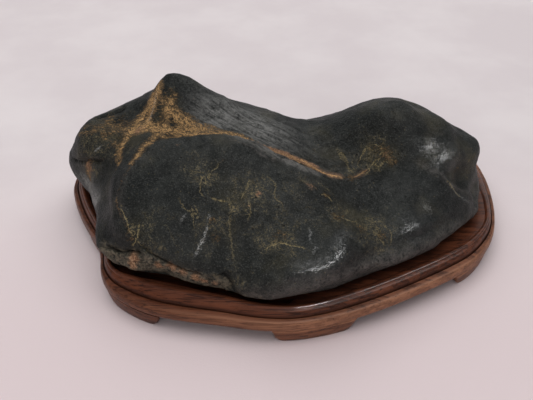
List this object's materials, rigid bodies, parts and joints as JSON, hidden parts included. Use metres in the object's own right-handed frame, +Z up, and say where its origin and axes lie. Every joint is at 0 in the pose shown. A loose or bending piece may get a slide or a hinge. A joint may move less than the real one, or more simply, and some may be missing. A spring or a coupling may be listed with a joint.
{
  "type": "scholars rock",
  "caption": "Dark waxed viewing stone with a knob peak, a saddle and a rounded hump, seated in a low moulded wooden stand on short glued feet.",
  "frame": {"origin": "on the ground under the middle of the whole piece's bounding box", "axes": "+X along the stone from the knob-peak end to the hump end, -Y is the side it is shown from, +Z up"},
  "size_m": [0.238, 0.1538, 0.0875],
  "materials": {
    "stone": "hand-waxed, semi-gloss",
    "stand_wood": "oiled rosewood, satin",
    "foot_wood": "oiled rosewood, satin"
  },
  "bodies": {
    "root": {"stone": "stone", "stand": "stand_wood", "foot_left": "foot_wood", "foot_front_left": "foot_wood", "foot_front_centre": "foot_wood", "foot_front_right": "foot_wood", "foot_back_right": "foot_wood", "foot_back_centre": "foot_wood", "foot_back_left": "foot_wood"}
  },
  "joints": []
}
